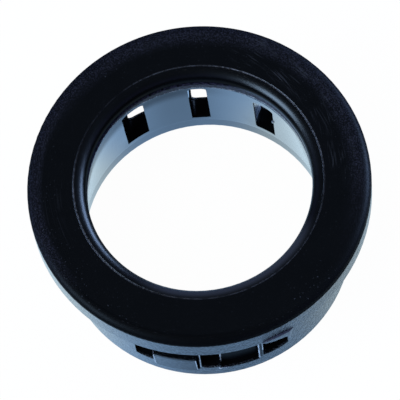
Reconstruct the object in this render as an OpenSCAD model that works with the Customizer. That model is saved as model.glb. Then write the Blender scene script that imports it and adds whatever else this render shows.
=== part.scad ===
// Snap bushing: one moulded ring that clicks into a round panel hole and guards
// the cable that passes through it.
// The origin is the centre of the hub's foot, and +Z points to the flange's face.
// Two side cores, pulled apart along Y, form the windows, the pockets and the barbs.
// Their two sides match after half a turn about Z, but for the wide window's width.

/* [Panel] */
// Diameter of the panel hole
panel_hole_d = 17.5; // [17:0.1:18.5]
// Radial play between the hub and the hole
hole_play = 0.14; // [0.05:0.01:0.25]
// Thickest panel that the long barbs hold
thick_panel = 3.3; // [2.8:0.1:3.6]
// Thickest panel that the short barbs hold
thin_panel = 1.6; // [1:0.1:2]
// Play between a panel and the shoulder of a barb
panel_play = 0.2; // [0.1:0.05:0.3]

/* [Flange] */
// How far the flange reaches past the panel hole, on each side
flange_lap = 1.15; // [0.9:0.05:1.6]
// Thickness of the flange
flange_t = 1.95; // [1.7:0.05:2.6]
// Rounding of the flange's front edge
rim_r = 0.55; // [0.2:0.05:0.7]
// Chamfer of the flange's back edge
rim_chamfer = 0.05; // [0.02:0.01:0.15]

/* [Bore] */
// Smallest diameter of the bore, at its throat
throat_d = 13; // [12:0.1:13.4]
// Length of the throat
throat_len = 0.9; // [0.6:0.1:1]
// Rounding from the flange's face into the throat
lip_r = 0.7; // [0.5:0.05:0.8]
// Depth of the fine groove that rings the lip
groove_depth = 0.04; // [0.02:0.01:0.08]

/* [Hub] */
// Length of the hub below the flange
hub_len = 7.15; // [6.6:0.05:8]
// Thickness of the hub's wall at its foot
foot_wall = 1.3; // [1:0.05:1.5]
// Height of the straight stretch of bore at the foot
foot_land = 0.9; // [0.5:0.1:1]
// Chamfer around the outside of the foot
foot_chamfer = 0.06; // [0.05:0.01:0.25]

/* [Windows] */
// Distance from one window to the next
window_pitch = 3.8; // [3.6:0.05:4]
// Width of the middle and the short window
window_w = 1.1; // [0.8:0.05:1.2]
// Width of the wide window on the front
wide_window_w = 1.45; // [1.1:0.05:1.6]
// Width of its twin on the back
back_window_w = 1.25; // [1:0.05:1.6]
// Rounding of the corners of a window
window_r = 0.3; // [0.1:0.02:0.35]
// Height of the closed ring below the windows, at the bore
foot_h = 1.35; // [1.25:0.05:1.5]
// Height of the closed ring below the pockets
low_foot_h = 1.05; // [0.95:0.05:1.2]
// Downward slope of the side cores' pins, in degrees
pin_slope = 5; // [0:1:6]
// Hub wall left between the flange and a tall window
tall_land = 0.02; // [0.02:0.01:0.2]
// Hub wall left between the flange and the short window
short_land = 0.55; // [0.4:0.05:1]

/* [Fingers] */
// Depth of the pockets between the windows
pocket_depth = 0.35; // [0.2:0.01:0.4]
// How far a barb stands out past the hub
barb_reach = 0.4; // [0.3:0.05:0.6]
// How far the centre of a barb's bow lies behind the hub's, which makes the barb flatter
barb_setback = 0.3; // [0:0.1:4]
// Height of the straight crest of a barb
barb_crest = 0.25; // [0.1:0.05:0.4]
// Length of the sloping lead below the crest of a short barb
short_lead = 1.7; // [1.6:0.1:2.4]
// Height at which the sloping lead of a long barb starts, inside the hub's wall
pilot_h = 0.35; // [0.3:0.05:0.7]
// How deep inside the wall it starts, so that it comes out at a clear angle
lead_tuck = 0.04; // [0.02:0.01:0.1]
// Gap between a barb and the post beside it
barb_gap = 0.14; // [0.08:0.02:0.2]
// Width of the post beside a long barb
narrow_post = 0.12; // [0.1:0.01:0.2]
// Width of the post beside a short barb
wide_post = 0.24; // [0.2:0.02:0.4]

/* [Hidden] */

hub_r = panel_hole_d / 2 - hole_play;
flange_r = panel_hole_d / 2 + flange_lap;
throat_r = throat_d / 2;
mouth_r = hub_r - foot_wall;
strap_r = hub_r - pocket_depth;

seat_z = hub_len;                       // where the flange meets the panel
face_z = seat_z + flange_t;
throat_low_z = face_z - lip_r - throat_len;
groove_r = throat_r + lip_r;            // ring where the lip leaves the flat face
long_shoulder_z = seat_z - thick_panel - panel_play;
short_shoulder_z = seat_z - thin_panel - panel_play;
short_lead_z = short_shoulder_z - barb_crest - short_lead;

root = 0.25;                            // how deep a barb is rooted in the wall
turn_fn = 180;                          // facets of a preview circle
edge_fn = 48;                           // facets of a preview edge round
core_reach = 2 * flange_r;              // long enough to pass the wall

// Where the pockets begin and end along X, between the walls of the windows.
long_x0 = -window_pitch + window_w / 2;
long_x1 = -window_w / 2 - narrow_post;
short_x0 = window_w / 2;
short_x1 = window_pitch - wide_window_w / 2 - wide_post;

// Half of the wall's section, in radius and height, before its edges are worked.
module wall_outline() {
    difference() {
        union() {
            square([hub_r, seat_z + flange_t / 2]);
            translate([0, seat_z]) square([flange_r, flange_t]);
        }
        polygon([
            [-1, -1], [mouth_r, -1], [mouth_r, foot_land],
            [throat_r, throat_low_z], [throat_r, face_z + 1], [-1, face_z + 1]
        ]);
    }
}

// What is cut away to round a corner at [0, 0], with the wall below and to the left.
module corner_round(r) {
    difference() {
        translate([-r, -r]) square(2 * r);
        translate([-r, -r]) circle(r, $fn = edge_fn);
    }
}

// What is cut away to chamfer a corner at [0, 0], with the wall above and to the left.
module corner_chamfer(c) {
    polygon([[-c, 0], [-c, -c], [c, -c], [c, c], [0, c]]);
}

// The finished section: rim and lip rounded, groove cut, back edge and foot chamfered.
module wall_section() {
    difference() {
        wall_outline();
        translate([flange_r, face_z]) corner_round(rim_r);
        translate([throat_r, face_z]) mirror([1, 0]) corner_round(lip_r);
        translate([groove_r, face_z]) circle(groove_depth, $fn = edge_fn);
        translate([flange_r, seat_z]) corner_chamfer(rim_chamfer);
        translate([hub_r, 0]) corner_chamfer(foot_chamfer);
    }
}

// The plain turned ring that the side cores cut into.
module turned_ring() {
    rotate_extrude($fn = turn_fn) wall_section();
}

// A rectangle with round corners, from [0, 0].
module rounded_rectangle(w, h, r) {
    translate([r, 0]) square([w - 2 * r, h]);
    translate([0, r]) square([w, h - 2 * r]);
    for (x = [r, w - r], y = [r, h - r]) translate([x, y]) circle(r, $fn = edge_fn);
}

// One window through the front wall, of width w about x, from z0 to z1 at the bore.
// The pin that forms it slopes down a little on its way out.
module window(x, w, z0, z1) {
    translate([x - w / 2, 0, mouth_r * tan(pin_slope)])
        rotate([90 + pin_slope, 0, 0])
            linear_extrude(core_reach)
                translate([0, z0]) rounded_rectangle(w, z1 - z0, window_r);
}

// A block of the front side core, from x0 to x1 and z0 to z1.
module core_block(x0, x1, z0, z1) {
    translate([x0, -core_reach, z0]) cube([x1 - x0, core_reach, z1 - z0]);
}

// One pocket, which leaves a thinner strap of wall behind it.
module pocket(x0, x1) {
    difference() {
        core_block(x0, x1, low_foot_h, seat_z - tall_land);
        cylinder(r = strap_r, h = face_z, $fn = turn_fn);
    }
}

// Everything that a side core takes out of the ring, with its wide window's width.
module side_cuts(wide_w) {
    window(-window_pitch, window_w, foot_h, seat_z - short_land);
    window(0, window_w, foot_h, seat_z - tall_land);
    window(window_pitch, wide_w, foot_h, seat_z - tall_land);
    pocket(long_x0, long_x1);
    pocket(short_x0, short_x1);
}

// A wedge with its shoulder at z1, whose sloping lead starts at radius r0 and height z0.
// It is turned about an axis behind the hub's own, which gives the flatter bow.
module barb(x0, x1, r0, z0, z1) {
    crest_r = hub_r + barb_reach;
    intersection() {
        translate([0, barb_setback, 0])
            rotate_extrude($fn = turn_fn)
                translate([barb_setback, 0])
                    polygon([
                        [strap_r - root, z0], [r0, z0], [crest_r, z1 - barb_crest],
                        [crest_r, z1], [strap_r - root, z1]
                    ]);
        core_block(x0, x1, z0 - 1, z1 + 1);
    }
}

// The long and the short barb of one side.
module side_barbs() {
    barb(long_x0, long_x1 - barb_gap, hub_r - lead_tuck, pilot_h, long_shoulder_z);
    barb(short_x0, short_x1 - barb_gap, strap_r, short_lead_z, short_shoulder_z);
}

// The whole bushing.
module bushing() {
    color([0.1, 0.11, 0.13]) {
        difference() {
            turned_ring();
            side_cuts(wide_window_w);
            rotate(180) side_cuts(back_window_w);
        }
        for (a = [0, 180]) rotate(a) side_barbs();
    }
}

bushing();
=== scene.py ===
# %% [markdown]
# # A snap bushing, moulded in black nylon
#
# The real thing is one small moulding, about 20 mm across. Its flange rests on a
# panel, its hub goes through a round hole, and barbs on the hub click behind the
# panel. The exact solid comes from the CAD model. This file dresses it: the camera,
# the studio, the nylon with its wear, and the thin flash that a mould leaves.

# %% Load the model
import math

import bmesh
import bpy
from mathutils import Matrix, Vector, noise as lattice


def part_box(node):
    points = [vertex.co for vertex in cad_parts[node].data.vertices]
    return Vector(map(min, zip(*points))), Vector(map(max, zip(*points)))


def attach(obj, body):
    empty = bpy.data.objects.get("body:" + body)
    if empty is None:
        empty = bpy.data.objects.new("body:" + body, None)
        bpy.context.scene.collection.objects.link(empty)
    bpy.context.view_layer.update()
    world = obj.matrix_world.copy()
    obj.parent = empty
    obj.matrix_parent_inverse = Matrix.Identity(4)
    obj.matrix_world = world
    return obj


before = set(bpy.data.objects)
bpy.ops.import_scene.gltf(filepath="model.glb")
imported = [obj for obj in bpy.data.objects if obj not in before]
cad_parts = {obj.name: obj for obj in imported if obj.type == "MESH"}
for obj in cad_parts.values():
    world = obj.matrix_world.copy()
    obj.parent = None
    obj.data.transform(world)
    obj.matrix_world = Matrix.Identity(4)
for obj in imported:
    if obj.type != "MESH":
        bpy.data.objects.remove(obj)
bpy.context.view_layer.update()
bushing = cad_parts["bushing"]
MM = 0.001

low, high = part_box("bushing")
flange_r = high.x
face_z = high.z
print(f"bushing: {flange_r / MM:.2f} mm flange radius, {face_z / MM:.2f} mm tall")

# %% [markdown]
# ## The camera
#
# A product shot of a small ring looks down on it from well above, with a long lens
# that keeps the circle close to an ellipse. The camera's axes are built as vectors:
# one that points back from the part to the camera, one to the right and one up, and
# the last two are turned a little, because the part stands slightly askew in the
# frame. A matrix of these vectors is exact, and clearer than Euler angles.

# %% Aim the camera
ELEVATION = math.radians(67.95)
AZIMUTH = math.radians(6.1)
ROLL = math.radians(8.82)
DISTANCE = 0.198
AIM = Vector((0, 0, 7.4 * MM))

back = Vector((
    math.sin(AZIMUTH) * math.cos(ELEVATION),
    -math.cos(AZIMUTH) * math.cos(ELEVATION),
    math.sin(ELEVATION),
))
level = Vector((math.cos(AZIMUTH), math.sin(AZIMUTH), 0))
upward = back.cross(level)
right = math.cos(ROLL) * level - math.sin(ROLL) * upward
top = math.sin(ROLL) * level + math.cos(ROLL) * upward

lens = bpy.data.cameras.new("studio_camera")
lens.sensor_width = 36
lens.lens = 309
lens.shift_x = -0.0005
lens.shift_y = -0.0208
lens.clip_start = 0.01
camera = bpy.data.objects.new("studio_camera", lens)
bpy.context.scene.collection.objects.link(camera)
camera.matrix_world = Matrix.Translation(AIM + DISTANCE * back) @ Matrix(
    (right, top, back)
).transposed().to_4x4()
bpy.context.scene.camera = camera
bpy.context.scene.view_settings.view_transform = "Standard"
print(f"camera: {DISTANCE / MM:.0f} mm away, {lens.lens:.0f} mm lens")

# %% [markdown]
# ## Shader maths as plain Python
#
# Node trees are easier to read as formulas. A `Wire` holds one output socket, and
# its operators add Math nodes. Its `node` method adds any other node: settings such
# as an operation or a noise type go in first, then the values and links.

# %% A wire of a node tree
class Wire:
    """One output socket of a node tree. Sums and products of wires add Math nodes."""

    def __init__(self, tree, socket=None):
        self.tree = tree
        self.socket = socket

    def node(self, kind, settings=None, output=0, **inputs):
        """Adds a node, sets it up, then feeds its sockets with values or wires."""
        made = self.tree.nodes.new(kind)
        for name, value in (settings or {}).items():
            if name == "stops":
                self.set_stops(made.color_ramp, value)
            else:
                setattr(made, name, value)
        for name, value in inputs.items():
            key = int(name[1:]) if name[1:].isdigit() else name.replace("_", " ")
            if isinstance(value, Wire):
                self.tree.links.new(value.socket, made.inputs[key])
            else:
                made.inputs[key].default_value = value
        return Wire(self.tree, made.outputs[output] if made.outputs else None)

    @staticmethod
    def set_stops(ramp, stops):
        while len(ramp.elements) < len(stops):
            ramp.elements.new(1)
        for element, (place, level) in zip(ramp.elements, stops, strict=True):
            element.position = place
            element.color = (level, level, level, 1)

    def math(self, operation, *values):
        values = {f"i{i}": v for i, v in enumerate(values)}
        return self.node("ShaderNodeMath", {"operation": operation}, **values)

    def __add__(self, other):
        return self.math("ADD", self, other)

    def __sub__(self, other):
        return self.math("SUBTRACT", self, other)

    def __rsub__(self, other):
        return self.math("SUBTRACT", other, self)

    def __mul__(self, other):
        return self.math("MULTIPLY", self, other)

    def __truediv__(self, other):
        return self.math("DIVIDE", self, other)

    def __pow__(self, other):
        return self.math("POWER", self, other)

    __radd__ = __add__
    __rmul__ = __mul__

    def step(self, start, end):
        """0 up to start, 1 from end on, and a smooth rise between them."""
        return self.node(
            "ShaderNodeMapRange",
            {"interpolation_type": "SMOOTHSTEP"},
            Value=self, From_Min=start, From_Max=end,
        )

    def band(self, middle, half, soft):
        """1 within half of the middle, falling smoothly to 0 over soft."""
        away = self.math("ABSOLUTE", self - middle)
        return 1 - away.step(half, half + soft)

    def mix(self, first, second):
        """This wire mixes from the first colour to the second."""
        return self.node(
            "ShaderNodeMix", {"data_type": "RGBA"}, 2,
            i0=self, i6=first, i7=second,
        )


def new_tree(owner):
    """Empties a material's, light's or world's node tree and returns a wire into it."""
    owner.use_nodes = True
    owner.node_tree.nodes.clear()
    return Wire(owner.node_tree)


def rgb(red, green, blue):
    return (red, green, blue, 1)


print("wire: ready")


# %% [markdown]
# ## The studio
#
# The part stands on a white sheet under soft light. A white floor that is lit like
# the part would look grey, so Light Path tells the camera's rays from the others:
# they see mostly a plain white of strength 1, and a share of the real floor keeps the
# shadow. Glossy rays see the same sheet, a little cooler and darker, because that is
# what makes the steep walls of black plastic shine blue grey while its top stays
# black. In front of the part and behind it, the mirrored sheet is cooler and darker
# still: painted shade, where the part would shade the floor. Both zones are places on
# the floor, so they stay where they are when the view moves. Overhead the room is
# dark, so that the top face mirrors nothing bright.

# %% Rays and coordinates
def light_path(tree, name):
    outputs = {"camera": 0, "glossy": 3, "transmission": 6}
    return tree.node("ShaderNodeLightPath", output=outputs[name])


def millimetres(tree):
    """An object's own coordinates, in millimetres."""
    return tree.node(
        "ShaderNodeVectorMath", {"operation": "SCALE"},
        i0=tree.node("ShaderNodeTexCoord", output=3), Scale=1 / MM,
    )


def split(vector):
    return [
        vector.node("ShaderNodeSeparateXYZ", output=i, Vector=vector) for i in range(3)
    ]


print("helpers: kinds of ray, coordinates in mm")

# %% The sheet's shape
FLOOR_R, FLOOR_SIDES, FLOOR_GAP = 0.9, 96, 0.01 * MM


def make_floor():
    mesh = bmesh.new()
    bmesh.ops.create_circle(mesh, cap_ends=True, radius=FLOOR_R, segments=FLOOR_SIDES)
    data = bpy.data.meshes.new("floor")
    mesh.to_mesh(data)
    mesh.free()
    floor = bpy.data.objects.new("floor", data)
    floor.location.z = low.z - FLOOR_GAP
    bpy.context.scene.collection.objects.link(floor)
    return floor


floor = make_floor()
print(f"floor: {2 * FLOOR_R:.1f} m across")

# %% The sheet's finish
BLACK, WHITE = rgb(0, 0, 0), rgb(1, 1, 1)
LIT_SHEET = rgb(0.70, 0.84, 0.95)
SHEET = rgb(0.66, 0.86, 1.0)
SHADED_SHEET = rgb(0.36, 0.62, 1.0)
PLAIN_SHARE = 0.98
# The mirrored sheet fades out between these distances from the bore's axis, in mm.
NEAR_SHEET, FAR_SHEET = 14, 30
# The cosines to a heading between which the mirrored sheet turns to its painted shade, in
# front and behind.
SHADE_FRONT, SHADE_BACK = (0.45, 0.98), (0.72, 0.985)
BACK_HEADING = math.radians(101)

sheet = bpy.data.materials.new("white_sheet")
tree = new_tree(sheet)
camera_ray, glossy_ray = light_path(tree, "camera"), light_path(tree, "glossy")
through_ray = light_path(tree, "transmission")
x, y, z = split(millimetres(tree))
away = (x * x + y * y) ** 0.5
in_front = (0 - y) / away
behind = (y * math.sin(BACK_HEADING) + x * math.cos(BACK_HEADING)) / away
# Painted shade: the mirrored sheet turns darker and bluer in front of the part and behind
# it.
cool = tree.math("MAXIMUM", in_front.step(*SHADE_FRONT), behind.step(*SHADE_BACK))
glow = 1 - away.step(NEAR_SHEET, FAR_SHEET)
mirrored = glow.mix(BLACK, cool.mix(SHEET, SHADED_SHEET))
lit = tree.node("ShaderNodeBsdfDiffuse", Color=LIT_SHEET)
plain = tree.node(
    "ShaderNodeEmission", Color=glossy_ray.mix(WHITE, mirrored), Strength=1.0
)
share = PLAIN_SHARE * (camera_ray + through_ray) + glossy_ray
shown = tree.node("ShaderNodeMixShader", i0=share, i1=lit, i2=plain)
tree.node("ShaderNodeOutputMaterial", Surface=shown)
floor.data.materials.append(sheet)
print("sheet: white for the camera, cool in reflections")

# %% The room
ROOM_GREY = rgb(0.35, 0.37, 0.4)
CEILING = rgb(0.006, 0.008, 0.012)
DUSK = rgb(0.04, 0.045, 0.13)
# The upward share of a direction, where the ceiling starts and where dusk is full.
CEILING_EDGE, DUSK_EDGE = 0.75, 0.2

room = bpy.data.worlds.new("room")
bpy.context.scene.world = room
tree = new_tree(room)
camera_ray, glossy_ray = light_path(tree, "camera"), light_path(tree, "glossy")
upness = tree.node(
    "ShaderNodeSeparateXYZ", output=2, Vector=tree.node("ShaderNodeTexCoord")
)
dusk = upness.step(CEILING_EDGE, DUSK_EDGE).mix(CEILING, DUSK)
seen = glossy_ray.mix(ROOM_GREY, dusk)
seen = camera_ray.mix(seen, WHITE)
tree.node(
    "ShaderNodeOutputWorld",
    Surface=tree.node("ShaderNodeBackground", Color=seen, Strength=1.0),
)
print("room: dark overhead, dusk low down")

# %% [markdown]
# ## The lamps
#
# Three soft boxes. One high up at the front lights the part and the floor, and draws
# the shadow; reflections don't show it, so the top face stays black. Two stand low,
# left of the camera and behind on the right: they put the soft streaks on the rounded
# lip of the bore. An area lamp shines along its own -Z, so each is turned by a
# quaternion that tracks the part.

# %% Soft boxes
def soft_box(name, direction, distance, size, watts, colour=(1, 1, 1), glints=True):
    lamp = bpy.data.lights.new(name, "AREA")
    lamp.shape = "RECTANGLE"
    lamp.size, lamp.size_y = size
    lamp.energy = watts
    lamp.color = colour
    holder = bpy.data.objects.new(name, lamp)
    direction = Vector(direction).normalized()
    holder.location = AIM + distance * direction
    holder.rotation_mode = "QUATERNION"
    holder.rotation_quaternion = direction.to_track_quat("Z", "Y")
    holder.visible_glossy = glints
    bpy.context.scene.collection.objects.link(holder)
    print(f"{name}: {watts} W at {distance} m")


LAMP_AWAY = 0.6
LEFT_COOL = (0.50, 0.72, 1.0)
RIGHT_COOL = (0.40, 0.60, 1.0)
soft_box("top_box", (-0.35, -0.25, 0.9), LAMP_AWAY, (0.35, 0.35), 2.2, glints=False)
soft_box("left_box", (-0.86, -0.45, 0.33), LAMP_AWAY, (0.34, 0.36), 3.2, LEFT_COOL)
soft_box("right_box", (0.80, 0.59, 0.19), LAMP_AWAY, (0.46, 0.28), 3.8, RIGHT_COOL)

# %% [markdown]
# ## The nylon
#
# Black nylon is almost black inside, and all its life is in its surface: a satin gloss,
# fine grain from the mould's steel, dust, hairline scratches and a witness line where two
# parts of the mould met, painted pale as a highlight of its fine edge. Everything is
# placed by the part's own coordinates, in millimetres: height, radius and angle about the
# bore.

# %% Sizes of the part
# All in mm, as the CAD model has them, but for the windows. Those are a hair wider
# and less tall, so that a mask takes in their side walls and leaves out the sill.
HUB_R, STRAP_R, RIM_R, FACE_Z = 8.61, 8.26, flange_r / MM, face_z / MM
THROAT_R, LIP_R, THROAT_LOW, THROAT_HIGH = 6.5, 7.2, 7.5, 8.4
WINDOW_PITCH, WINDOW_HALF, WIDE_HALF, WIDER_IN_FRONT = 3.8, 0.555, 0.635, 0.1
WINDOW_LOW, TALL_TOP, SHORT_TOP = 1.36, 7.12, 6.58
SHORT_WALL, SHORT_FAR_WALL = -3.25, -4.35
POCKET_LOW, LONG_SHOULDER, SHORT_SHOULDER = 1.05, 3.65, 5.35
POST_LEFT, FRONT_POST_RIGHT, BACK_POST_RIGHT = 2.835, 3.075, 3.175
print(f"hub: {HUB_R:.2f} mm radius, throat: {THROAT_R:.2f} mm")

# %% Where on the part
nylon = bpy.data.materials.new("black_nylon")
tree = new_tree(nylon)
place = millimetres(tree)
x, y, z = split(place)
radius = (x * x + y * y) ** 0.5
angle = tree.math("ARCTAN2", y, x)


def noise(vector, scale, detail=2.0, roughness=0.5):
    return vector.node(
        "ShaderNodeTexNoise", Vector=vector, Scale=scale, Detail=detail,
        Roughness=roughness,
    )


def polar(across, around):
    """Coordinates that run across and around the ring, so that noise draws arcs."""
    return tree.node(
        "ShaderNodeCombineXYZ", X=radius * across, Y=angle * around, Z=z * 0.2
    )


# Each mask rises smoothly between the two heights or radii of its step.
on_face = z.step(FACE_Z - 0.12, FACE_Z - 0.04)
above_rim_wall = z.step(8.55, 8.75)
below_flange = 1 - z.step(7.0, 7.1)


def towards(degrees):
    """The cosine between a place's direction from the bore's axis and a heading."""
    turn = math.radians(degrees)
    return (x * math.cos(turn) + y * math.sin(turn)) / radius


# The two sides match after half a turn, so this is x as a side core sees it.
core_x = x * tree.math("SIGN", 0 - y)
print("coordinates: x, y, z, radius and angle in mm")

# %% [markdown]
# ### Wear on the flange
#
# The flat face shows what comes first on black plastic: specks of dust, a faint haze
# towards the rim, and fine scratches where the part was rubbed. Near the rim on the
# right, that haze is a painted highlight of light from above on the right. An image of
# scratches would blur close up, so noise draws them. In polar coordinates it stretches
# into arcs, and along a spiral of radius and angle it becomes slanting hairs.

# %% Dust, haze with a painted highlight, and scratches
# Headings around the bore, in degrees from the part's right.
FAR_RIGHT, FAR_LEFT, LEFT, NEAR_RIGHT, NEAR = 36, 126, 196, -34, -72

specks = noise(place, 9.0, 1.0).step(0.70, 0.76)
hazy = noise(place, 0.25, 1.0).step(0.45, 0.62) * radius.step(7.8, 9.2)
dust = specks * (0.25 + 0.75 * hazy) * on_face

# Near the rim on the right this brightening is a painted highlight; on the left it is
# haze.
haze_and_highlight = towards(66).step(-0.2, 0.8) * radius.step(8.35, 9.25)
haze_and_highlight = haze_and_highlight + 0.8 * towards(LEFT - 20).step(0.65, 0.95) * radius.step(8.9, 9.3)
haze_and_highlight = haze_and_highlight * above_rim_wall
haze_and_highlight = haze_and_highlight * (
    0.3 * noise(place, 3.0, 2.0) + 1.3 * noise(place, 13.0, 1.0).step(0.44, 0.72)
)

arcs = noise(polar(11.0, 1.6), 1.0, 2.0).step(0.56, 0.68)
spiral = tree.node("ShaderNodeCombineXYZ", X=13 * radius - 24 * angle, Y=angle * 5)
hairs = noise(spiral, 1.0, 2.0).step(0.56, 0.70) * towards(FAR_RIGHT).step(0.5, 0.8)
scuffed = towards(FAR_RIGHT).step(0.72, 0.92) + 0.4 * towards(LEFT).step(0.90, 0.99)
scuffed = scuffed * noise(place, 0.8, 1.0).step(0.36, 0.56) * radius.step(7.4, 7.8)
scratches = (0.6 * arcs + hairs) * scuffed * on_face
print("wear: dust, haze, scratches")

# %% [markdown]
# ### The witness line and the throat
#
# A pale hairline rings the bore where two parts of the mould met. Its paleness is a
# painted highlight of that fine edge, brighter towards the far right and the left, and it
# is worn away in places. Inside, the throat has a purple cast, with a ragged lower edge
# and crumbs of flash along it, painted pale, partly as the highlight along that edge.
# Bands of radius and height place all of these, and noise breaks them up, so that none
# looks drawn with a compass.

# %% Marks around the bore
worn = noise(polar(0.3, 34.0), 1.0, 3.0, 0.7).step(0.36, 0.64)
# Painted highlight: the witness line is brighter towards the far right and the left,
# where the lamps catch its edge.
crisp_and_lit = (
    towards(FAR_RIGHT + 5).step(0.70, 0.98)
    + 0.8 * towards(LEFT + 5).step(0.72, 0.98)
    + 0.25 * (1 - towards(FAR_LEFT).step(0.5, 0.8))
    + 0.4 * towards(FAR_LEFT - 36).step(0.78, 0.97)
    + 0.12
)
witness_line_highlight = radius.band(LIP_R, 0.018, 0.035) * on_face * crisp_and_lit * (0.2 + 0.85 * worn)

across = x / THROAT_R
ragged = THROAT_LOW + 0.35 * across.step(0.1, 0.9) + 0.25 * (0 - across).step(0.3, 0.8)
ragged = ragged + 0.25 * (noise(polar(0.3, 12.0), 1.0, 2.0) - 0.5)
at_bore = 1 - radius.step(6.6, 6.9)
in_throat = (z - ragged).step(-0.05, 0.06) * at_bore * (
    1 - z.step(THROAT_HIGH - 0.35, THROAT_HIGH + 0.05)
)
# Crumbs of flash along the throat's lower edge, painted pale, partly as the highlight
# along that edge.
crumbs_and_highlight = (z - ragged).band(0.0, 0.06, 0.05) * at_bore * (
    noise(place, 9.0, 1.0).step(0.50, 0.60)
)
print("marks: witness line, throat")

# %% [markdown]
# ### Colour
#
# A plain black would look like a hole. The body is nearly black, and each mark is
# mixed over it in turn, as layers of paint are: haze with a painted highlight near the
# rim, a powdery bloom on the hub's grain, dust, scratches, a paler near part of the lip,
# the witness line's painted highlight, the throat's cast and its crumbs, partly a painted
# highlight.

# %% Layers of colour
BODY = rgb(0.0015, 0.0019, 0.0027)
DUSTY = rgb(0.036, 0.043, 0.062)
HAZE_AND_HIGHLIGHT = rgb(0.0120, 0.0135, 0.0245)
PALE = rgb(0.085, 0.100, 0.140)
PURPLE = rgb(0.034, 0.034, 0.068)
CRUMB_HIGHLIGHT = rgb(0.24, 0.25, 0.30)

outer = radius.step(8.4, 8.5) * (1 - above_rim_wall)
flat_place = tree.node("ShaderNodeCombineXYZ", X=x, Y=y, Z=z * 0.4)
on_shoulder = z.band(LONG_SHOULDER, 0.03, 0.02) + z.band(SHORT_SHOULDER, 0.03, 0.02)
powder = noise(flat_place, 9.0, 3.0, 0.7).step(0.48, 0.72) * outer * (1 - on_shoulder)
# The near part of the lip is made paler.
near_lip = (1 - radius.step(6.75, 7.25)) * z.step(8.5, 8.7)
near_lip = near_lip * towards(NEAR).step(0.6, 0.85)
# Haze, with the painted highlight near the rim on the right.
colour = haze_and_highlight.mix(BODY, HAZE_AND_HIGHLIGHT)
colour = (powder * 0.5).mix(colour, PALE)
colour = (dust * 0.8).mix(colour, DUSTY)
colour = (scratches * 0.35).mix(colour, DUSTY)
colour = (near_lip * 0.62).mix(colour, DUSTY)
# The witness line's pale colour is a painted highlight of its fine edge.
colour = (witness_line_highlight * 0.8).mix(colour, PALE)
colour = (in_throat * noise(place, 6.0, 2.0).step(0.3, 0.7)).mix(colour, PURPLE)
colour = (crumbs_and_highlight * 0.9).mix(colour, CRUMB_HIGHLIGHT)
print("colour: body and eight marks")

# %% [markdown]
# ### Polished and dull places
#
# A mould's open faces are polished, and the walls of its windows and pockets are not.
# So the nylon mixes two Principled shaders, one glossy and one that reflects nothing,
# and masks say how dull each place is. One shader with a varying specular level would
# be simpler, but an exported model loses a link into that socket.

# %% The walls of windows, posts and barbs
in_bore = (1 - radius.step(7.3, 7.4)) * (1 - z.step(7.4, 7.6))
in_wall = radius.step(7.35, 7.45) * (1 - radius.step(8.50, 8.56)) * below_flange
on_barb = radius.step(8.612, 8.635) * below_flange

# The wide window is wider on the front than on the back.
wider = WIDER_IN_FRONT * (0 - y).step(-1, 1)
above_sill = z.step(WINDOW_LOW, WINDOW_LOW + 0.06)
tall_window = core_x.band(0, WINDOW_HALF, 0.01) + (
    1 - tree.math("ABSOLUTE", core_x - WINDOW_PITCH).step(
        WIDE_HALF + wider, WIDE_HALF + 0.01 + wider
    )
)
tall_window = tall_window * above_sill * (1 - z.step(TALL_TOP - 0.04, TALL_TOP))
short_window = core_x.band(-WINDOW_PITCH, WINDOW_HALF, 0.01) * above_sill
short_window = short_window * (1 - z.step(SHORT_TOP - 0.06, SHORT_TOP))
barb_side = core_x.band(SHORT_WALL, 0.04, 0.03)
window_wall = (tall_window + short_window) * (1 - barb_side)
unpolished = tree.math("MAXIMUM", 0.82 * in_wall, 0.96 * window_wall) * (
    1 - z.step(4.8, 5.4)
)
on_post = (
    core_x.band((POST_LEFT + FRONT_POST_RIGHT) / 2, 0.05, 0.05) * z.step(1.1, 1.4)
    * radius.step(8.5, 8.6) * (1 - radius.step(8.62, 8.64)) * below_flange
)
print("dull: walls of windows, posts and barbs")

# %% The rim, the lip and the bore
on_rim = above_rim_wall * radius.step(9.2, 9.4)
lip_foot = (
    7.80 - 0.3 * towards(190).step(0.50, 0.98) + 0.45 * towards(30).step(0.60, 0.95)
)
low_lip = (z - lip_foot).step(0, 0.35) * (1 - z.step(8.72, 8.88)) * (
    1 - radius.step(6.9, 7.1)
) * (1 - 0.6 * towards(0).step(0.85, 0.98))
high_bore = z.step(5.5, 7.0) * in_bore * (1 - towards(50).step(0.6, 1.0))
on_land = (1 - z.step(0.85, 1.0)) * in_bore
dulled = (
    unpolished + 0.45 * on_barb + 0.6 * on_post + 0.9 * low_lip
    + on_rim * (0.85 - 0.35 * towards(NEAR_RIGHT).step(0.6, 0.95))
    + 0.35 * in_throat + 0.5 * high_bore
)
print("dull: rim, lip and bore")

# %% [markdown]
# ### Gloss and grain
#
# Roughness carries the satin gloss and its mottle. A Bump node adds the grain of the
# mould's steel, full on the outside of the hub and almost none on the flange's face.
# A Bevel node turns the normals at sharp edges, so that they catch light as moulded
# edges do while the exact solid stays as it is. A clear coat lifts the places where
# the nylon shines most: the land at the foot and parts of the bore and the hub.

# %% Gloss, grain and sheen
mottle = noise(place, 0.8, 3.0)
gloss = (
    0.15 + 0.06 * mottle + 0.14 * above_rim_wall + 0.12 * on_rim - 0.12 * in_bore
    + 0.35 * in_throat + 0.15 * in_wall + 0.10 * scratches
)

grain = noise(flat_place, 7.0, 3.0, 0.6) * (0.03 + 0.97 * outer + 0.2 * in_throat)
sheen = 0.9 * outer * towards(212).step(0.55, 0.95) + in_bore * (
    0.9 * on_land + 0.7 * towards(45).step(0.6, 0.95) + 0.5 * towards(150).step(0.7, 0.98)
)
sheen = tree.math("MINIMUM", sheen, 1.0)
print("surface: gloss, grain and sheen")

# %% The nylon's shader
EDGE_ROUND, GRAIN_DEPTH, NYLON_IOR = 0.09 * MM, 0.1 * MM, 1.55

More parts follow.
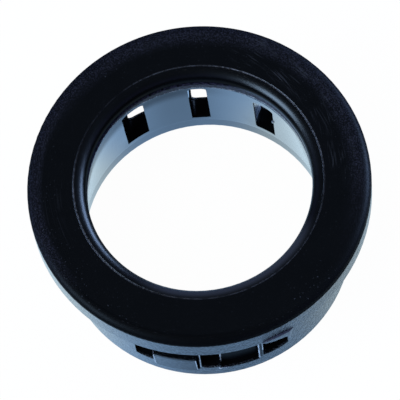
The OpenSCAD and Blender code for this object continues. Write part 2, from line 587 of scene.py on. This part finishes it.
rounded = tree.node("ShaderNodeBevel", {"samples": 8}, Radius=EDGE_ROUND)
bumped = tree.node(
    "ShaderNodeBump", Strength=1.0, Distance=GRAIN_DEPTH, Height=grain, Normal=rounded
)
glossy = tree.node(
    "ShaderNodeBsdfPrincipled", Base_Color=colour, Roughness=gloss, IOR=NYLON_IOR,
    Normal=bumped, Coat_Weight=sheen, Coat_Roughness=0.2,
)
dull = tree.node(
    "ShaderNodeBsdfPrincipled", Base_Color=colour, Roughness=0.6, Normal=bumped,
    Specular_IOR_Level=0.0,
)
plastic = tree.node("ShaderNodeMixShader", i0=dulled, i1=glossy, i2=dull)
tree.node("ShaderNodeOutputMaterial", Surface=plastic)
bushing.data.materials.clear()
bushing.data.materials.append(nylon)
print("nylon: on the bushing")

# %% [markdown]
# ## Flash and burrs
#
# Where the parts of a mould meet, a little nylon creeps into the gap. It leaves thin,
# uneven ridges along the edges that the side cores formed; they are painted paler than
# the body, as a highlight of the light their edges catch. Here most are 0.03 to 0.06 mm
# high, which is a guess at the real ones: far too fine for the CAD model, but they catch
# the light all along the windows. Each ridge is a half-round section swept along an edge.
# A Bump node could fake one on a flat wall, but not on a corner, where it also changes
# the outline.

# %% Surfaces that the ridges follow
LEAD_Z, CREST_Z = 0.35, 3.40
LEAD_R, CREST_R, BARB_SETBACK = 8.57, 9.01, 0.3


def on_round(round_r):
    """Places on the front of an upright cylinder, from x and z in mm."""
    def surface(across, up):
        return Vector((across, -math.sqrt(round_r ** 2 - across ** 2), up))
    return surface


def on_long_barb(across, up):
    """A place on a long barb, which bows about an axis behind the bore's own."""
    share = min(1, max(0, (up - LEAD_Z) / (CREST_Z - LEAD_Z)))
    round_r = LEAD_R + share * (CREST_R - LEAD_R) + BARB_SETBACK
    return Vector((across, BARB_SETBACK - math.sqrt(round_r ** 2 - across ** 2), up))


def line(surface, start, end, step=0.07):
    """Places on a surface between two points that are given as x and z."""
    count = max(2, round(math.dist(start, end) / step))
    return [
        surface(*(a + (b - a) * i / count for a, b in zip(start, end, strict=True)))
        for i in range(count + 1)
    ]


def outwards(point):
    return Vector((point.x, point.y, 0)).normalized()


print("surfaces: hub, straps and long barbs")

# %% Sweep a ridge
RIDGE_SIDES = 7
# How deep a ridge is sunk into the wall, in mm, and its share of full size at an end.
SUNK, THIN_END = 0.015, 0.2
# How much height and width vary along a ridge, and how fast, per mm.
TALL_SWAY, TALL_PACE = 0.6, 2.7
WIDE_SWAY, WIDE_PACE, WIDE_START = 0.5, 3.9, Vector((7, 0, 0))


def skin(mesh, rings):
    """Joins rings of vertices into a closed tube, with one face at each end."""
    for first, second in zip(rings, rings[1:], strict=False):
        for j, corner in enumerate(first):
            k = (j + 1) % len(first)
            mesh.faces.new((corner, first[k], second[k], second[j]))
    mesh.faces.new(rings[0])
    mesh.faces.new(rings[-1][::-1])


def sweep_ridge(mesh, path, width, height, out=outwards, taper=0.25):
    """Adds a closed half-round ridge along a path, in mm, thin at both ends."""
    run = [0.0]
    for before, after in zip(path, path[1:], strict=False):
        run.append(run[-1] + (after - before).length)
    rings = []
    for i, point in enumerate(path):
        along = path[min(i + 1, len(path) - 1)] - path[max(i - 1, 0)]
        normal = out(point)
        side = along.cross(normal).normalized()
        ends = min(1, run[i] / taper, (run[-1] - run[i]) / taper)
        full = THIN_END + (1 - THIN_END) * math.sin(ends * math.pi / 2)
        tall = height * full * (1 + TALL_SWAY * lattice.noise(point * TALL_PACE))
        sway = lattice.noise(point * WIDE_PACE + WIDE_START)
        wide = width * full * (1 + WIDE_SWAY * sway)
        turns = [math.pi * k / RIDGE_SIDES for k in range(RIDGE_SIDES + 1)]
        rings.append([
            mesh.verts.new(MM * (
                point + side * (0.5 * wide * math.cos(turn))
                + normal * (tall * math.sin(turn) - SUNK)
            )) for turn in turns
        ])
    skin(mesh, rings)


print("ridge: ready to sweep")

# %% Finish a piece
def finish_piece(name, mesh, material, turned=False):
    """Turns a bmesh into a smooth-shaded piece that rides on the part."""
    if turned:
        half_turn = Matrix.Rotation(math.pi, 3, "Z")
        bmesh.ops.rotate(mesh, matrix=half_turn, verts=mesh.verts)
    bmesh.ops.recalc_face_normals(mesh, faces=mesh.faces)
    data = bpy.data.meshes.new(name)
    mesh.to_mesh(data)
    mesh.free()
    data.shade_smooth()
    data.materials.append(material)
    piece = bpy.data.objects.new(name, data)
    bpy.context.scene.collection.objects.link(piece)
    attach(piece, "root")
    print(f"{name}: {len(data.polygons)} faces")



# %% [markdown]
# ### Thin nylon
#
# Flash is the body's own nylon. Its thin ridges catch light all along their edges, and a
# paler base colour, varying from place to place, paints that in as a highlight; a raised
# IOR gives the hard glints. Faces that look up get a painted dark shade instead.

# %% Three kinds of thin nylon
LEDGE_SHADE = rgb(0.030, 0.036, 0.070)


def flash_nylon_with_painted_light(name, deep, pale_highlight, ior):
    """Flash nylon: an uneven paler base colour as a painted highlight, and painted shade
    on faces that look up.
    """
    material = bpy.data.materials.new(name)
    tree = new_tree(material)
    place = millimetres(tree)
    uneven = noise(place, 5.0, 2.0)
    # Painted shade: a ledge that faces up gets one bluish dark tone, whatever the walls
    # below it have.
    facing = tree.node("ShaderNodeNewGeometry", output=1)
    ledge_shade = split(facing)[2].step(0.35, 0.75)
    colour = ledge_shade.mix(uneven.step(0.3, 0.7).mix(deep, pale_highlight), LEDGE_SHADE)
    grain = noise(place, 12.0)
    shader = tree.node(
        "ShaderNodeBsdfPrincipled", Base_Color=colour, Roughness=0.2 + 0.15 * uneven,
        IOR=ior,
        Normal=tree.node(
            "ShaderNodeBump", Strength=0.6, Distance=0.003 * MM, Height=grain
        ),
    )
    tree.node("ShaderNodeOutputMaterial", Surface=shader)
    print(f"{name}: ready")
    return material


# The ridges and the burrs are painted pale as highlights; the smear stays almost as dark
# as the body.
ridge_highlight_nylon = flash_nylon_with_painted_light(
    "ridge_highlight_nylon", rgb(0.14, 0.165, 0.21), rgb(0.42, 0.48, 0.58), 1.8
)
smear_nylon = flash_nylon_with_painted_light(
    "smear_nylon", rgb(0.012, 0.015, 0.022), rgb(0.035, 0.042, 0.06), 1.6
)
burr_highlight_nylon = flash_nylon_with_painted_light(
    "burr_highlight_nylon", rgb(0.13, 0.16, 0.21), rgb(0.23, 0.27, 0.34), 1.9
)

# %% [markdown]
# ### Ridges on the hub
#
# Each side of the hub has a ridge along the edges of its windows, posts and barbs,
# and a fatter nub below the middle window. One list gives every upright ridge by its
# surface, its two ends, its width and its height. The back's set is the front's,
# turned by half a turn, with its post a little wider.

# %% Ridges along the edges of the windows, posts and barbs
BARB_EDGE, POCKET_EDGE = -3.24, 0.56
hub, strap, low_hub = on_round(HUB_R), on_round(STRAP_R), on_round(HUB_R - 0.01)


def leftwards(point):
    return Vector((-0.7, 0, 0.7))


def side_ridges(name, post_right, turned):
    mesh = bmesh.new()
    for surface, start, end, width, height in (
        (strap, (POCKET_EDGE, 1.15), (POCKET_EDGE, 6.9), 0.09, 0.06),
        (hub, (POST_LEFT + 0.01, 1.10), (POST_LEFT + 0.01, 7.0), 0.085, 0.05),
        (hub, (post_right - 0.01, 2.1), (post_right - 0.01, 7.0), 0.06, 0.035),
        (hub, (-0.61, 1.25), (-0.61, 7.0), 0.08, 0.03),
        (on_long_barb, (BARB_EDGE, 0.75), (BARB_EDGE, LONG_SHOULDER), 0.08, 0.05),
        (on_long_barb, (-0.82, 0.9), (-0.82, LONG_SHOULDER), 0.06, 0.035),
    ):
        sweep_ridge(mesh, line(surface, start, end), width, height)
    corner = on_long_barb(BARB_EDGE, LONG_SHOULDER)
    inner = strap(BARB_EDGE, LONG_SHOULDER)
    shoulder = [inner.lerp(corner, i / 10) for i in range(11)]
    sweep_ridge(mesh, shoulder, 0.06, 0.035, leftwards, taper=0.1)
    nub = line(low_hub, (0.40, POCKET_LOW), (0.66, POCKET_LOW), 0.03)
    sweep_ridge(mesh, nub, 0.22, 0.12, taper=0.12)
    tail = line(low_hub, (POCKET_EDGE, POCKET_LOW), (1.05, POCKET_LOW), 0.04)
    sweep_ridge(mesh, tail, 0.08, 0.05, taper=0.3)
    finish_piece(name, mesh, ridge_highlight_nylon, turned)


side_ridges("front_edge_flash", FRONT_POST_RIGHT, False)
side_ridges("back_edge_flash", BACK_POST_RIGHT, True)

# %% [markdown]
# ### Burrs in a window
#
# Through the bore, the short window on the back shows a slanting cheek along one of its
# walls, and a small nick of flash on the wall across from it; both are painted pale as
# highlights. Both could be cut into the solid, but they are flaws of this one moulding
# and not its design, so they are closed skins let into the walls. The cheek is a stack of
# rings that follow the tapering bore, and the nick is one more swept ridge. They are
# built on the front and turned to the back.

# %% Burrs in the short window on the back
CHEEK_WIDTH, CHEEK_BOW, CHEEK_OUTER_Y = 0.33, 0.05, -7.6
CHEEK_ROWS, CHEEK_STEPS = 14, 5
# How deep the burrs are let into the walls, in mm.
LET_IN = 0.02
# The bore widens by this much over this height below the throat, in mm.
BORE_WIDENS, BORE_TAPER = 0.81, 6.6
NICK_LOW, NICK_STEP, NICK_STOPS = 4.35, 0.07, 7


def bore_y(across, up):
    """Where the tapering bore's front wall is, at x and z, in mm."""
    bore_r = THROAT_R + (THROAT_LOW - up) * BORE_WIDENS / BORE_TAPER
    return -math.sqrt(bore_r ** 2 - across ** 2)


def rightwards(point):
    return Vector((1, 0, 0))


def make_window_burrs():
    """A slanting cheek on one wall of the window, and a nick of flash on the other."""
    mesh = bmesh.new()
    rings = []
    for i in range(CHEEK_ROWS + 1):
        up = WINDOW_LOW + (SHORT_TOP - WINDOW_LOW) * i / CHEEK_ROWS
        near = bore_y(SHORT_WALL, up) - LET_IN
        ring = [(SHORT_WALL + LET_IN, near), (SHORT_WALL + LET_IN, CHEEK_OUTER_Y)]
        for j in range(CHEEK_STEPS + 1):
            share = 1 - j / CHEEK_STEPS
            bow = CHEEK_BOW * math.sin(math.pi * share)
            ring.append((
                SHORT_WALL - CHEEK_WIDTH * share + bow,
                near + (CHEEK_OUTER_Y - near) * share,
            ))
        rings.append([mesh.verts.new(MM * Vector((*pair, up))) for pair in ring])
    skin(mesh, rings)
    heights = [NICK_LOW + NICK_STEP * i for i in range(NICK_STOPS)]
    nick = [
        Vector((SHORT_FAR_WALL, bore_y(SHORT_FAR_WALL, up) - LET_IN, up))
        for up in heights
    ]
    sweep_ridge(mesh, nick, 0.16, 0.13, rightwards, taper=0.15)
    finish_piece("back_window_burrs", mesh, burr_highlight_nylon, turned=True)


make_window_burrs()

# %% [markdown]
# ### The smeared rim
#
# Over the front's wide window, the flange's back edge has a small smear of flash: a
# strip that stands a little proud of the rim, hangs below it and ends in a rib. It is
# a closed sheet between an outer and an inner wall, laid out in columns along the rim.

# %% Flash under the rim
# Each stop along the rim: x, top, bottom and how far the strip stands out, in mm.
SMEAR = (
    (3.16, 7.24, 7.14, 0.00), (3.40, 7.34, 7.06, 0.07), (3.80, 7.44, 6.95, 0.10),
    (4.20, 7.47, 6.86, 0.11), (4.50, 7.43, 6.74, 0.11), (4.62, 7.40, 6.62, 0.10),
    (4.68, 7.38, 6.20, 0.10), (4.78, 7.37, 6.12, 0.09), (4.86, 7.36, 6.70, 0.05),
    (4.98, 7.34, 7.24, 0.01),
)
SMEAR_COLUMNS = 8
# How far down the strip each row lies, and its share of the strip's standing out.
SMEAR_ROWS = (
    (0.0, -0.5), (0.01, 0.75), (0.05, 0.95), (0.1, 0.98), (0.4, 1.0), (0.85, 1.0),
    (1.0, 0.6),
)
# The inner wall: how far inside the rim it lies, low down and high up, in mm.
INNER_LOW, INNER_HIGH, INNER_INSET = 0.05, 0.07, 0.02
RAGGED_BY, RAGGED_PACE = 0.05, 6


def smear_columns():
    """The strip's stops, with more columns drawn in evenly between them."""
    for first, second in zip(SMEAR, SMEAR[1:], strict=False):
        for i in range(SMEAR_COLUMNS):
            share = i / SMEAR_COLUMNS
            yield [a + (b - a) * share for a, b in zip(first, second, strict=True)]
    yield list(SMEAR[-1])


def make_rim_flash():
    """A closed sheet: the rows of the outer wall, then the two of the inner wall."""
    mesh = bmesh.new()
    rings = []
    for across, high_z, low_z, stand in smear_columns():
        low_z += RAGGED_BY * lattice.noise(Vector((across * RAGGED_PACE, 0, 0)))
        ring = [
            (high_z + (low_z - high_z) * down, RIM_R + stand * share)
            for down, share in SMEAR_ROWS
        ]
        ring.append((low_z + INNER_INSET, RIM_R - INNER_LOW))
        ring.append((high_z - INNER_INSET, RIM_R - INNER_HIGH))
        rings.append([
            mesh.verts.new(MM * on_round(round_r)(across, up)) for up, round_r in ring
        ])
    skin(mesh, rings)
    finish_piece("rim_flash", mesh, smear_nylon)


make_rim_flash()
